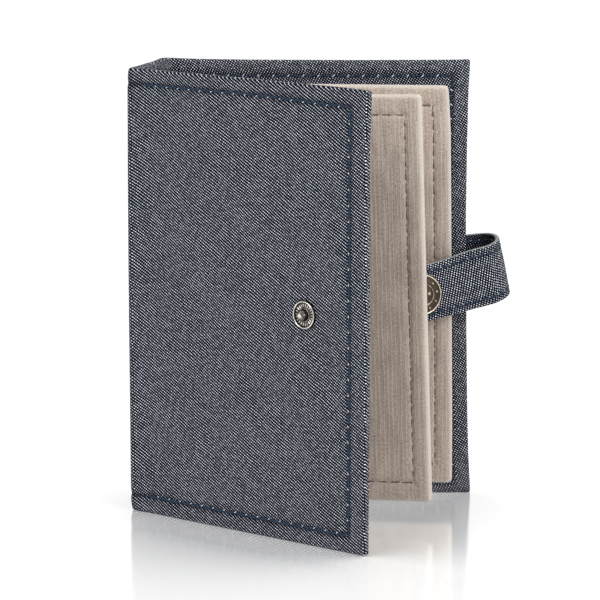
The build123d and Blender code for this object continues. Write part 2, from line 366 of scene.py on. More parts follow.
def woven(name, first, second, dark, pale, spread=(0.34, 0.78), share=0.5):
    """Woven cloth: pale crossings of the weft on a dark warp, on a lattice of two wave directions.

    spread is where a crossing starts and is full, and share is how strongly the first direction shows.
    """
    material, tree, shader = new_material(name, Roughness=0.9)
    shader.inputs["Specular IOR Level"].default_value = 0.04
    place = flat_map(tree)
    u, v = split(tree, place)
    wobble = times(tree, calc(tree, "SUBTRACT", noise(tree, place, 0.05, 2.0), 0.5), 2.2)
    phases = []
    for across, along in (first, second):
        run = plus(tree, times(tree, u, across), times(tree, v, along))
        phases.append(plus(tree, run, wobble))
    cells = added(tree, "CombineXYZ")
    for phase, socket in zip(phases, cells.inputs):
        join(tree, calc(tree, "ROUND", phase), socket)
    chance = added(tree, "TexWhiteNoise")
    chance.noise_dimensions = "2D"
    join(tree, cells.outputs[0], chance.inputs["Vector"])
    crests = [calc(tree, "COSINE", times(tree, phase, 2 * math.pi)) for phase in phases]
    strong, weak = (times(tree, crest, part) for crest, part in zip(crests, (share, 1 - share)))
    crossing = plus(tree, strong, weak)
    dots = ranged(tree, crossing, *spread)
    varied = times(tree, dots, ranged(tree, chance.outputs["Value"], 0.0, 1.0, least_crossing, 1.0))
    weft = noise(tree, stretched(tree, place, (0.05, 1.7, 1.0)), 1.0, 1.0)
    warp = noise(tree, stretched(tree, place, (1.7, 0.05, 1.0)), 1.0, 1.0)
    slub = ranged(tree, plus(tree, weft, warp), 0.75, 1.25, *slub_range)
    # Painted shade: a mark dims the pale crossings along sunk stitch channels and over the strap's inner
    # face.
    shaded = calc(tree, "SUBTRACT", 1.0, times(tree, marked(tree, "painted_shade"), painted_shade_strength))
    light = times(tree, times(tree, varied, slub), shaded)
    plum = tuple(part + tint for part, tint in zip(dark, plum_tint))
    ground = mixed(tree, ranged(tree, noise(tree, place, 0.07, 2.0), 0.4, 0.6), dark, plum)
    colour = mixed(tree, light, ground, pale)
    join(tree, mixed(tree, marked(tree, "wear_and_highlight"), colour, edge_wear), shader.inputs["Base Color"])
    join(tree, raised(tree, crossing, 0.00008, 0.5), shader.inputs["Normal"])
    return material


rib_pitch = 1.58


def velvet(name, dark, pale, edge):
    """Ribbed velvet, paler where its pile opens over an edge, and paler still there as a painted sheen."""
    material, tree, shader = new_material(name, Roughness=0.92, Sheen_Weight=0.35, Sheen_Roughness=0.45)
    shader.inputs["Sheen Tint"].default_value = (1.0, 0.95, 0.9, 1.0)
    place = flat_map(tree)
    u, _ = split(tree, place)
    sway = times(tree, noise(tree, stretched(tree, place, (0.5, 0.05, 1.0)), 1.0, 2.0), 0.9)
    phase = plus(tree, times(tree, u, 1 / rib_pitch), sway)
    broad = calc(tree, "COSINE", times(tree, phase, 2 * math.pi))
    narrow = calc(tree, "COSINE", times(tree, phase, 4 * math.pi))
    rib = plus(tree, broad, times(tree, narrow, 0.6))
    grain = noise(tree, stretched(tree, place, (2.6, 1.3, 1.0)), 1.0, 3.0, 0.65)
    cloud = noise(tree, stretched(tree, place, (1.0, 0.45, 1.0)), 0.16, 4.0, 0.6)
    level = plus(tree, times(tree, rib, 0.05), times(tree, grain, 1.35))
    level = plus(tree, level, times(tree, cloud, 0.5))
    streak = noise(tree, stretched(tree, place, (1.5, 0.07, 1.0)), 1.0, 2.0)
    level = plus(tree, level, times(tree, calc(tree, "SUBTRACT", streak, 0.5), 0.45))
    colour = mixed(tree, ranged(tree, level, 0.59, 1.25), dark, pale)
    # The rolled edges turn paler: the pile opening there, with a painted sheen on top.
    fuzz_and_sheen = times(tree, marked(tree, "wear_and_highlight"), ranged(tree, grain, 0.25, 0.75, 0.6, 1.0))
    join(tree, mixed(tree, fuzz_and_sheen, colour, edge), shader.inputs["Base Color"])
    relief = plus(tree, times(tree, rib, 0.25), grain)
    join(tree, raised(tree, relief, 0.00016, 0.5), shader.inputs["Normal"])
    return material


twists = 1.6
# Near-white colour of the other thread's loops at the holes, painted as glints.
loop_glint_pale = (0.62, 0.68, 0.74, 1.0)


def thread(name, dark, pale):
    """Twisted sewing thread, pale where the other thread's loop shows, which is painted near white as a
    glint.
    """
    material, tree, shader = new_material(name, Roughness=0.6)
    shader.inputs["Specular IOR Level"].default_value = 0.2
    along, round_turn = split(tree, flat_map(tree))
    turn = plus(tree, times(tree, along, twists), round_turn)
    twist = calc(tree, "SINE", times(tree, turn, 2 * math.pi))
    colour = mixed(tree, ranged(tree, twist, -0.6, 1.0), dark, pale)
    # Painted glint: the loops are coloured near white.
    colour = mixed(tree, marked(tree, "wear_and_highlight"), colour, loop_glint_pale)
    join(tree, colour, shader.inputs["Base Color"])
    join(tree, raised(tree, twist, 0.0001, 0.6), shader.inputs["Normal"])
    return material


def metal(name, dark, bright, rough, marks=True):
    """Plated metal, bright where it is rubbed and dull in its hollows; on the stud's ball its marks paint a
    highlight at the crown and a dark reflection over the body.
    """
    material, tree, shader = new_material(name, Metallic=1.0)
    coordinates = added(tree, "TexCoord").outputs["Object"]
    stain = noise(tree, coordinates, 900.0, 4.0, 0.6)
    share = stain
    if marks:
        spots = times(tree, calc(tree, "SUBTRACT", stain, 0.5), 0.9)
        # The mark brightens rubbed parts; on the stud's ball it paints a highlight at the crown and a dark
        # reflection over the body.
        share = plus(tree, marked(tree, "wear_and_highlight"), spots)
    share = ranged(tree, share, 0.15, 0.95)
    join(tree, mixed(tree, share, dark, bright), shader.inputs["Base Color"])
    join(tree, ranged(tree, share, 0.0, 1.0, rough + 0.22, rough), shader.inputs["Roughness"])
    scratches = noise(tree, stretched(tree, coordinates, (1.0, 1.0, 6.0)), 700.0, 5.0, 0.7)
    join(tree, raised(tree, scratches, 0.00004, 0.5), shader.inputs["Normal"])
    return material


navy = (0.0030, 0.0048, 0.0100, 1.0)
pale_blue = (0.88, 0.92, 1.0, 1.0)
case_waves = ((0.490, 0.910), (1.037, -0.830))
lining_waves = ((0.776, 1.090), (1.041, -0.520))
case_cloth = woven("case_cloth", *case_waves, navy, pale_blue, (0.54, 0.80), 0.76)
lining_cloth = woven("lining_cloth", *lining_waves, navy, pale_blue, (0.57, 0.82), 0.60)
inner_turn = np.linalg.solve(np.array(case_waves), np.array(lining_waves))
strap_cloth = woven("strap_cloth", (0.960, 0.302), (-0.641, 1.152), navy, pale_blue, (0.43, 0.82))
pile_dark = (0.215, 0.172, 0.142, 1.0)
pile_pale = (0.460, 0.380, 0.322, 1.0)
# The rolled edges' colour: opened pile, lightened as a painted sheen.
pile_edge_sheen = (0.45, 0.405, 0.355, 1.0)
leaf_velvet = velvet("leaf_velvet", pile_dark, pile_pale, pile_edge_sheen)
tape_dark = (0.16, 0.14, 0.125, 1.0)
tape_pale = (0.40, 0.36, 0.33, 1.0)
tape_cloth = woven("tape_cloth", (1.0, 0.9), (1.0, -0.9), tape_dark, tape_pale, (0.0, 0.8))
navy_thread = thread("navy_thread", (0.004, 0.012, 0.027, 1.0), (0.018, 0.046, 0.090, 1.0))
leaf_thread = thread("leaf_thread", (0.045, 0.036, 0.038, 1.0), (0.15, 0.125, 0.12, 1.0))
stud_metal = metal("stud_nickel", (0.026, 0.022, 0.020, 1.0), (0.82, 0.77, 0.71, 1.0), 0.20)
cap_metal = metal("cap_copper", (0.050, 0.038, 0.026, 1.0), (0.66, 0.55, 0.44, 1.0), 0.28)
plain_metal = metal("plain_nickel", (0.20, 0.18, 0.17, 1.0), (0.75, 0.71, 0.66, 1.0), 0.25, marks=False)


# Case: the cloth of the covers and the spine, wrapped round their boards

edge_roll = 0.8
channel_half = 1.0
channel_depth = 0.34
cover_stitch = 5.4
fold_bulge = 1.5
lining_inset = 3.0
lining_fore_inset = 4.8


class CaseSide:
    """One half of the case, from the middle of the spine round the fold to a cover's fore edge."""

    def __init__(self, side, angle, fore_trim, top_trim, insets):
        self.side = side
        self.fore_trim = fore_trim
        self.top_trim = top_trim
        self.low_inset, self.high_inset, self.fore_inset = insets
        self.angle = math.radians(90 - abs(angle))
        tangent = fold_radius * math.tan(self.angle / 2)
        self.straight = hinge_across - tangent
        self.fold = fold_radius * self.angle
        self.reach = self.straight + self.fold + cover_reach - tangent
        self.cover_start = self.reach - cover_reach

    def place(self, s, z, offset):
        """Points at a distance along the case, a height, and an offset outwards from its middle surface."""
        turn = np.clip((s - self.straight) / fold_radius, 0, self.angle)
        first = np.minimum(s, self.straight)
        last = np.maximum(s - self.straight - self.fold, 0)
        ahead = first + fold_radius * np.sin(turn) + last * math.cos(self.angle)
        across = fold_radius * (1 - np.cos(turn)) + last * math.sin(self.angle)
        x = across - offset * np.cos(turn)
        y = self.side * (ahead + offset * np.sin(turn))
        return np.stack(np.broadcast_arrays(x, y, z), -1)

    def trimmed(self, s, z, offset):
        """The same, with the fore and top edges where the real cover's slightly bowed edges are."""
        fore = np.interp(z, *self.fore_trim) * smooth(self.reach - 55, self.reach, s)
        top = np.interp(s - self.cover_start, *self.top_trim) * smooth(height - 40, height, z)
        return self.place(s + fore, z + top, offset)

    def high_line(self, s):
        """Height of the stitches along the top."""
        return height - self.high_inset - 0.85 * (self.side < 0) * smooth(60, 105, s - self.cover_start)

    def border(self, s, z):
        """Distance inside the stitched line that runs along the top, the fore edge and the bottom."""
        level = np.minimum(z - self.low_inset, self.high_line(s) - z)
        return np.minimum(level, self.reach - self.fore_inset - s)

    def fold_points(self, reach=3.0):
        """Points on the cover and on the spine between which the case bends."""
        middle = np.array([0, self.side * hinge_across, 0])
        turn = self.angle
        along = np.array([math.sin(turn), self.side * math.cos(turn), 0])
        return (middle + reach * along) * MM, (middle - reach * np.array([0, self.side, 0])) * MM


# Trims are tables of place and shift. The insets are those of the bottom, top and fore stitches.
front_side = CaseSide(
    -1,
    front_angle,
    ((0, 20, 60, 110, 140, 150, 160), (-0.35, -0.3, 0.0, 0.1, 0.15, 0.5, 1.0)),
    ((0, 22, 55, 71, 97, 111), (0.0, 0.2, 0.75, 0.8, 1.1, 1.0)),
    (6.2, 5.3, 7.2),
)
back_side = CaseSide(
    1,
    back_angle,
    (
        (0, 5, 16, 31, 60, 101, 127, 149, 155, 160),
        (0.6, 0.35, -0.2, -0.6, -1.05, -1.45, -1.2, -0.75, -0.4, -0.2),
    ),
    ((0, 13, 31, 67, 100, 107, 111), (-0.1, -0.5, -0.72, -0.85, -0.7, -0.6, -0.4)),
    (5.6, 5.6, 6.2),
)


fold_fullness = (
    (0, 3, 12, 40, 70, 120, 136, 155, 158, 160),
    (0.4, 0.75, 0.79, 0.85, 0.95, 0.95, 0.88, 0.84, 0.7, 0.5),
)
fold_spread = 5.0
painted_shade_half = 1.15


def case_piece(name, side):
    """Half of the case, with rolled edges and the soft channel along its stitches."""
    inset = side.reach - side.fore_inset
    fold_middle = side.straight + side.fold / 2
    u_bands = [(inset, 2.0, fine_step), (fold_middle, 3.0, fine_step)]
    v_bands = [(side.low_inset, 2.0, fine_step), (height - side.high_inset - 0.4, 2.4, fine_step)]
    us = lines(0, side.reach, cover_step, u_bands, (0, edge_roll))
    vs = lines(0, height, height_step, v_bands, (edge_roll, edge_roll))
    u, v, rim = grid(us, vs, (-height, side.reach, 0, height), fore_corner)
    line = np.abs(side.border(u, v))
    along = np.where(np.abs(u - inset) < 3, v, u)
    pucker = 0.65 + 0.35 * np.cos(2 * math.pi * along / cover_stitch)
    channel = channel_depth * pucker * np.exp(-((line / channel_half) ** 2))
    face = half_cover - rolled(rim, edge_roll)
    uneven = 0.05 * waves(u, v, 38, 5 + side.side) * smooth(0.5, 3, rim)
    fullness = np.interp(v, *fold_fullness)
    bulge = fold_bulge * fullness * np.exp(-(((u - fold_middle) / fold_spread) ** 2))
    outer = face - channel * smooth(0, 1.2, rim) + uneven + bulge
    inner = -(face - 0.4 * channel)

    def with_case(s, z):
        return np.stack([-side.side * s, z], -1)

    def like_lining(s, z):
        return np.stack([s, z], -1) @ inner_turn.T

    # Painted shade: the weave is dimmed along the sunk stitch channel.
    painted_shade = np.exp(-((line / painted_shade_half) ** 2)) * smooth(0.5, 1.5, rim)
    return slab(name, u, v, outer, inner, side.trimmed, case_cloth, with_case, like_lining, {"painted_shade": painted_shade})


covers = (("front", front_side, "spine_cloth"), ("back", back_side, "spine_board"))
for word, side, spine_node in covers:
    case = case_piece(f"{word}_case", side)
    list(side.fold_points())
    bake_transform(case)
    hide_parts(f"{word}_cover_board", f"{word}_cover_cloth", spine_node)


lining_edges = (0.3, 0.3)
lining_top = height - lining_inset
lining_corner = 0.6
lining_back = half_cover - 0.1


def lining_piece(name, side):
    """Lining sheet of a cover, glued inside its turned-in cloth."""
    low = side.cover_start + 1.8 + lining_inset
    high = side.reach - lining_fore_inset
    outline = (low, high, lining_inset, lining_top)
    us = lines(low, high, cover_step, [(side.reach - side.fore_inset, 1.6, fine_step)], lining_edges)
    bands = [(side.low_inset, 1.6, fine_step), (height - side.high_inset, 1.6, fine_step)]
    vs = lines(lining_inset, lining_top, height_step, bands, lining_edges)
    u, v, rim = grid(us, vs, outline, lining_corner)
    line = np.abs(side.border(u, v))
    channel = 0.24 * np.exp(-((line / 0.9) ** 2))
    uneven = 0.04 * waves(u, v, 30, 11)
    face = -(lining_face - rolled(rim, lining_edges[0]) - channel * smooth(0, 1.0, rim) + uneven)
    back = np.full_like(u, -lining_back)
    # Painted shade: the lining's weave is dimmed along its sunk stitch channel.
    painted_shade = {"painted_shade": 0.95 * np.exp(-((line / 0.8) ** 2))}
    return slab(name, u, v, back, face, side.trimmed, lining_cloth, straight_uv, straight_uv, painted_shade)


for word, side, _ in covers:
    lining = lining_piece(f"{word}_lining", side)
    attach(lining, f"{word}_cover")
    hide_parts(f"{word}_cover_lining")


def spine_sheet():
    """Lining of the spine."""
    half = hinge_across - lining_inset
    outline = (-half, half, lining_inset, lining_top)
    us = lines(-half, half, 2.0, (), lining_edges)
    vs = lines(lining_inset, lining_top, 2.5, (), lining_edges)
    u, v, rim = grid(us, vs, outline, lining_corner)
    face = lining_face - rolled(rim, lining_edges[0])
    back = np.full_like(u, lining_back)

    def place(across, z, offset):
        return np.stack(np.broadcast_arrays(offset, across, z), -1)

    return slab("spine_inner_cloth", u, v, face, back, place, lining_cloth, straight_uv, straight_uv)


spine_lining = spine_sheet()
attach(spine_lining, "spine")
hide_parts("spine_lining")


# Leaves

leaf_roots = (-6.0, 6.0)
leaf_angles = (0.6, 12.5)
leaf_leans = (
    ((7.7, 152.3), (2.2, -2.2)),
    ((8, 30, 60, 110, 136, 147, 152), (0.75, 0.75, 0.5, 0.05, -0.25, -0.8, -1.2)),
)
leaf_tilts = (0.035, 0.0)
leaf_lifts = (0.7, 0.0)
strip_root = 3.0
strip_reach = 6.0
leaf_low_u = 0.7
leaf_high_u = (95.8, 97.5)
leaf_low_v = 7.7
leaf_high_v = 152.3
leaf_corner = 1.6
leaf_roll = 1.35
leaf_half = 1.85
leaf_inset = 7.0
leaf_fore_inset = 6.0
leaf_stitch = 4.7


def leaf_place(number):
    """Place of a leaf's hinge side."""
    root = moved(strip_root, leaf_roots[number], 0) @ turned(leaf_angles[number], "Z")
    return root @ moved(strip_reach, 0, 0)


def leaf_point(number):
    """Function that puts a leaf's flat coordinates and offset in space."""
    place = leaf_place(number)
    reach = leaf_high_u[number]

    def point(u, v, offset):
        share = (u - leaf_low_u) / (reach - leaf_low_u)
        shift = np.interp(v, *leaf_leans[number])
        lift = leaf_lifts[number] * smooth(60, leaf_high_v, v)
        lift = lift - leaf_tilts[number] * np.minimum(reach - u, 30)
        return put(place, u + share * shift, offset, v + lift)

    return point


def leaf_face(u, v, rim, reach, seed):
    """Height of a velvet face over the middle of the leaf."""
    sideways = np.minimum(u - leaf_low_u, reach - u) + leaf_inset - leaf_fore_inset
    level = np.minimum(v - leaf_low_v, leaf_high_v - v)
    line = np.abs(np.minimum(sideways, level) - leaf_inset)
    along = np.where(sideways < level, v, u)
    pucker = 0.6 + 0.4 * np.cos(2 * math.pi * along / leaf_stitch)
    channel = 0.62 * pucker * np.exp(-((line / 0.95) ** 2))
    crown = 0.3 * smooth(leaf_inset + 1, leaf_inset + 22, rim)
    border = 0.12 * smooth(0.5, 3.0, rim) * smooth(leaf_inset, leaf_inset - 3.0, rim)
    dimples = 0.10 * waves(u, v, 22, seed) + 0.05 * waves(u, v, 9, seed + 50)
    return leaf_half - rolled(rim, leaf_roll) - channel + crown + border + dimples * smooth(1, 5, rim)


def leaf_piece(number):
    """Velvet leaf: a crowned pad on each face, with a sewn channel and soft paler edges that carry a
    painted sheen.
    """
    reach = leaf_high_u[number]
    outline = (leaf_low_u, reach, leaf_low_v, leaf_high_v)
    middles = (leaf_low_u + leaf_fore_inset, reach - leaf_fore_inset)
    levels = (leaf_low_v + leaf_inset, leaf_high_v - leaf_inset)
    u_bands, v_bands = ([(at, 2.4, fine_step) for at in places] for places in (middles, levels))
    us = lines(leaf_low_u, reach, leaf_step, u_bands, (leaf_roll, leaf_roll))
    vs = lines(leaf_low_v, leaf_high_v, leaf_step, v_bands, (leaf_roll, leaf_roll))
    u, v, rim = grid(us, vs, outline, leaf_corner)
    front = -leaf_face(u, v, rim, reach, 21 + number)
    back = leaf_face(u, v, rim, reach, 31 + number)
    # Rolled edges marked to turn paler, partly as a painted sheen.
    marks = {"wear_and_highlight": 1 - smooth(0.1, 1.9, rim)}
    name = f"leaf_{number + 1}_velvet"
    return slab(name, u, v, front, back, leaf_point(number), leaf_velvet, straight_uv, straight_uv, marks)


for number in range(2):
    leaf = leaf_piece(number)
    node = f"leaf_{number + 1}"
    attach(leaf, node)
    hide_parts(f"{node}_board", f"{node}_front_pad", f"{node}_back_pad")


# Cloth hinges of the leaves

tape_half = 0.19
tape_low = 14.7
tape_high = height - tape_low
tape_gap = 0.2
foot_level = 2.12 - strip_root
foot_radius = 0.8


def ribbon(plan):
    """Points, faces and flat coordinates of an upright ribbon along a plan line."""
    plan = np.asarray(plan, float)
    ahead = np.gradient(plan, axis=0)
    ahead /= np.linalg.norm(ahead, axis=1, keepdims=True)
    normal = np.stack([-ahead[:, 1], ahead[:, 0]], -1)
    travel = np.concatenate([[0], np.cumsum(np.linalg.norm(np.diff(plan, axis=0), axis=1))])
    levels = lines(tape_low, tape_high, tape_step)
    s, z = np.meshgrid(np.arange(len(plan)), levels, indexing="ij")
    sides = []
    for sign in (1, -1):
        flat = plan[s] + sign * tape_half * normal[s]
        sides.append(np.concatenate([flat, z[..., None]], -1).reshape(-1, 3))
    points = np.concatenate(sides)
    faces = np.concatenate(sheet_faces(*s.shape)[:3])
    if volume_sign(points, faces) < 0:
        faces = faces[:, ::-1]
    flat_uv = np.tile(np.stack([travel[s], z], -1).reshape(-1, 2), (2, 1))
    return points, faces, flat_uv


def ribbons_piece(name, plans, place):
    """Several ribbons in one mesh, placed in space."""
    points, faces, uv, start = [], [], [], 0
    for plan in plans:
        p, f, t = ribbon(plan)
        points.append(put(place, *p.T))
        faces.append(f + start)
        uv.append(t[f])
        start += len(p)
    return new_piece(name, np.concatenate(points), np.concatenate(faces), np.concatenate(uv), tape_cloth)


for number in range(2):
    node = f"leaf_{number + 1}"
    place = moved(strip_root, leaf_roots[number], 0) @ turned(leaf_angles[number], "Z")
    angle = math.radians(leaf_angles[number])
    roots = []
    for sign in (-1, 1):
        foot = [(foot_level, sign * across) for across in np.linspace(4.0, 1.0, 5)]
        bend = []
        for t in np.linspace(0, math.pi / 2, 6):
            out = tape_gap + foot_radius * (1 - math.sin(t))
            bend.append((foot_level + foot_radius * (1 - math.cos(t)), sign * out))
        run = [(x, sign * tape_gap) for x in np.linspace(0.3, strip_reach / 2, 5)]
        back = np.array([[math.cos(angle), math.sin(angle)], [-math.sin(angle), math.cos(angle)]])
        roots.append((np.array(foot + bend) @ back.T).tolist() + run)
    root_tape = ribbons_piece(f"{node}_root_tape", roots, place)
    ahead = np.linspace(strip_reach / 2, strip_reach + 3.0, 12)
    outs = [[(x, sign * tape_gap) for x in ahead] for sign in (-1, 1)]
    leaf_tape = ribbons_piece(f"{node}_leaf_tape", outs, place)
    low, middle = (put(place, x, 0, 0) * MM for x in (-0.7, 0.7))
    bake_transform(root_tape)
    near, far = (put(place, x, 0, 0) * MM for x in (strip_reach - 0.7, strip_reach + 0.7))
    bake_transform(leaf_tape)
    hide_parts(f"{node}_binding_foot", f"{node}_hinge_strip")


# Strap

strap_half = 10.0
strap_half_thickness = 0.8
strap_middle = 2.6
strap_base = 36.0
curl_radius = 11.3
curl_turn = math.radians(156.0)
strap_run = 25.4
strap_tail = 9.0
strap_droop = math.radians(8.0)
curl_tilt = 6.3
tail_radius = 7.0
base_radius = 3.0
strap_roll = 0.5
strap_inset = 2.5
strap_stitch = 3.6
# Painted shade laid over the whole inner face of the strap.
strap_inner_shade = 0.75
open_end = 99.0
curl_length = curl_radius * curl_turn
strap_cut = curl_length / 2
strap_end = curl_length + strap_run + strap_tail

back_cover = moved(0, hinge_across, 0) @ turned(back_angle, "Z")
fold_place = back_cover @ moved(cover_reach, strap_middle, strap_level) @ turned(-curl_tilt, "Y")


def strap_point(s, w, offset):
    """Points of the strap at a distance along it, across it, and outwards from its middle surface."""
    s, w, offset = np.broadcast_arrays(np.asarray(s, float), w, offset)
    lean = np.radians(curl_tilt) * smooth(-14, 0, s)
    along, up = cover_reach + s - w * np.sin(lean), strap_level + w * np.cos(lean)
    flat = put(back_cover, along, strap_middle + offset, up)
    turn = np.clip(s, 0, curl_length) / curl_radius
    beyond = np.maximum(s - curl_length, 0)
    x = (curl_radius + offset) * np.sin(turn) + beyond * math.cos(curl_turn)
    y = (curl_radius + offset) * np.cos(turn) - curl_radius - beyond * math.sin(curl_turn)
    lean = np.cos(math.pi / 2 * np.clip((s - strap_cut) / strap_cut, -1, 1)) ** 2
    x = x + lean * (0.4 - 0.1 * w)
    lift = smooth(curl_length + strap_run - 6, curl_length + 2, s) * smooth(strap_cut, curl_length, s)
    z = y * math.tan(strap_droop) + w / math.cos(strap_droop)
    z = z + lean * (0.9 + 0.03 * w) + lift * (0.8 + 0.05 * w)
    bent = put(fold_place, x, y, z)
    return np.where((s < 0)[..., None], flat, bent)


def strap_piece(name, low, high, closed_low, closed_high, corner):
    """A stretch of the strap, two sewn plies with rolled edges."""
    ends = (low if closed_low else low - open_end, high if closed_high else high + open_end)
    outline = (*ends, -strap_half, strap_half)
    us = lines(low, high, strap_step, (), (strap_roll * closed_low, strap_roll * closed_high))
    bands = [(sign * (strap_half - strap_inset), 1.4, strap_fine_step) for sign in (1, -1)]
    vs = lines(-strap_half, strap_half, strap_step, bands, (strap_roll, strap_roll))
    u, v, rim = grid(us, vs, outline, corner)
    line = np.abs(rim - strap_inset)
    pucker = 0.6 + 0.4 * np.cos(2 * math.pi * u / strap_stitch)
    channel = 0.22 * pucker * np.exp(-((line / 0.8) ** 2))
    fill = 0.12 * smooth(strap_inset, strap_half, rim)
    face = strap_half_thickness - rolled(rim, strap_roll) - channel + fill
    face = face + 0.05 * waves(u, v, 12, 71) * smooth(0.5, 2, rim)
    # The first mark pales the strap's outermost edge with wear. The second paints shade along the sunk
    # stitch channels, and the inner face is painted in shade all over.
    marks = {"wear_and_highlight": 0.85 * (1 - smooth(0.0, 0.22, rim)), "painted_shade": 0.95 * np.exp(-((line / 0.8) ** 2))}
    inner = -(face - 0.1 * fill)
    under = {"painted_shade": np.maximum(marks["painted_shade"], strap_inner_shade)}
    return slab(name, u, v, face, inner, strap_point, strap_cloth, straight_uv, straight_uv, marks, under)


strap_near = strap_piece("strap_near", -strap_base, strap_cut, True, False, base_radius)
strap_far = strap_piece("strap_far", strap_cut, strap_end, False, True, tail_radius)
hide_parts("strap_base_inner_ply", "strap_base_outer_ply", "strap_curl_inner_ply")
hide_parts("strap_curl_outer_ply", "strap_tip_inner_ply", "strap_tip_outer_ply")
bend_ends = [strap_point(s, 0, 0) * MM for s in (-2.5, 4.5, curl_length - 4.5, curl_length + 3.0)]
near_bend = ("back_cover", "strap_curl", *bend_ends[:2])
far_bend = ("strap_curl", "strap_tip", *bend_ends[2:])
for piece, bend in ((strap_near, near_bend), (strap_far, far_bend)):
    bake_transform(piece)


# Stitches


def sewn(name, rows, material, radius, rise, tick=None, sides=6):
    """Stitches as thread arcs that dip into the cloth at both ends. Each row is (place, line, pitch, gap).

    A tick is the other thread's loop at each hole, painted pale as a glint: length, angle to the row, side
    shift and radius.
    """
    points, faces, uv, marks = [], [], [], []
    ring = np.arange(sides) * 2 * math.pi / sides
    shares = np.array([0.0, 0.08, 0.22, 0.5, 0.78, 0.92, 1.0])
    lift = np.array([-0.34, -0.10, 0.04, rise, 0.04, -0.10, -0.34])
    girth = np.array([0.55, 0.85, 1.0, 1.06, 1.0, 0.85, 0.55])
    start = 0

    def add(place, at, u, v, offset, side, thick, mark):
        nonlocal start
        middle = place(u, v, offset)
        normal = place(u, v, offset + side) - middle
        normal /= np.linalg.norm(normal, axis=1, keepdims=True)
        ahead = np.gradient(middle, axis=0)
        across = np.cross(ahead, normal)
        across /= np.linalg.norm(across, axis=1, keepdims=True)
        size = (thick * girth)[:, None, None]
        upwards = np.cos(ring)[None, :, None] * normal[:, None] * 0.8
        shell = middle[:, None] + size * (upwards + np.sin(ring)[None, :, None] * across[:, None])
        points.append(shell.reshape(-1, 3))
        index = start + np.arange(len(at) * sides).reshape(len(at), sides)
        following = np.roll(index, -1, axis=1)
        quads = np.stack([index[:-1], following[:-1], following[1:], index[1:]], -1)
        faces.extend(quads.reshape(-1, 4).tolist())
        flat = np.stack(np.meshgrid(at, np.arange(sides + 1) / sides, indexing="ij"), -1)
        corners = [flat[:-1, :-1], flat[:-1, 1:], flat[1:, 1:], flat[1:, :-1]]
        uv.extend(np.stack(corners, 2).reshape(-1, 2).tolist())
        for end, order in ((0, 1), (-1, -1)):
            faces.append(index[end][::order].tolist())
            uv.extend([(at[end], c / sides) for c in range(sides)])
        marks.extend([mark] * (len(at) * sides))
        start += len(at) * sides

    for place, line, pitch, gap in rows:
        line = np.asarray(line, float)
        travel = np.concatenate([[0], np.cumsum(np.linalg.norm(np.diff(line[:, :2], axis=0), axis=1))])
        count = max(1, round(travel[-1] / pitch))
        step = travel[-1] / count
        for k in range(count):
            at = k * step + gap / 2 + shares * (step - gap)
            u, v, offset = (np.interp(at, travel, line[:, c]) for c in range(3))
            side = np.sign(offset[0]) or 1
            add(place, at, u, v, offset + side * lift, side, radius, 0.0)
            if tick and k:
                length, angle, shift, thick = tick
                bit = shares - 0.5
                ends = ((d, c) for d in (-0.1, 0.1) for c in (0, 1))
                run = np.array([np.interp(k * step + d, travel, line[:, c]) for d, c in ends])
                du, dv = (run[2] - run[0]) / 0.2, (run[3] - run[1]) / 0.2
                cosine, sine = math.cos(angle), math.sin(angle)
                tu = run[0] + 0.1 * du + length * bit * (cosine * du - sine * dv) - shift * dv
                tv = run[1] + 0.1 * dv + length * bit * (cosine * dv + sine * du) + shift * du
                level = np.interp(k * step, travel, line[:, 2]) + side * (0.5 * lift + 0.1)
                add(place, k * step + bit, tu, tv, level, side, thick, 1.0)
    return new_piece(name, np.concatenate(points), faces, uv, material, {"wear_and_highlight": marks})


def case_rows(side, start, offset):
    """The case's stitched line: bottom, fore edge and top."""
    fore = side.reach - side.fore_inset
    bottom = [(s, side.low_inset, offset) for s in np.linspace(start, fore, 60)]
    edge = [(fore, z, offset) for z in np.linspace(side.low_inset, side.high_line(fore), 60)]
    top = [(s, side.high_line(s), offset) for s in np.linspace(fore, start, 60)]
    return [(side.trimmed, line, cover_stitch, 0.9) for line in (bottom, edge, top)]


outside = half_cover - channel_depth * 0.6
inside = -(lining_face - 0.2)
# Ticks are the other thread's loops, coloured pale as painted glints.
case_tick = (0.8, 0.6, 0.35, 0.16)
lining_tick = (1.2, 0.9, 0.0, 0.16)
strap_tick = (0.7, 0.5, 0.3, 0.13)
for word, side, _ in covers:
    rows = case_rows(side, 1.2, outside)
    outer = sewn(f"{word}_case_stitches", rows, navy_thread, 0.52, 0.12, case_tick)
    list(side.fold_points())
    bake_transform(outer)
    rows = case_rows(side, side.cover_start + 6.5, inside)
    inner = sewn(f"{word}_lining_stitches", rows, navy_thread, 0.24, 0.06, lining_tick)
    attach(inner, f"{word}_cover")

for number in range(2):
    low_u, high_u = leaf_low_u + leaf_fore_inset, leaf_high_u[number] - leaf_fore_inset
    low_v, high_v = leaf_low_v + leaf_inset, leaf_high_v - leaf_inset
    corners = [(low_u, low_v), (high_u, low_v), (high_u, high_v), (low_u, high_v), (low_u, low_v)]
    rows = []
    for offset in (-(leaf_half - 0.34), leaf_half - 0.34):
        for first, second in zip(corners, corners[1:]):
            line = [(*first, offset), (*second, offset)]
            rows.append((leaf_point(number), line, leaf_stitch, 0.6))
    stitches = sewn(f"leaf_{number + 1}_stitches", rows, leaf_thread, 0.22, 0.12)
    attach(stitches, f"leaf_{number + 1}")


strap_sunk = 0.25


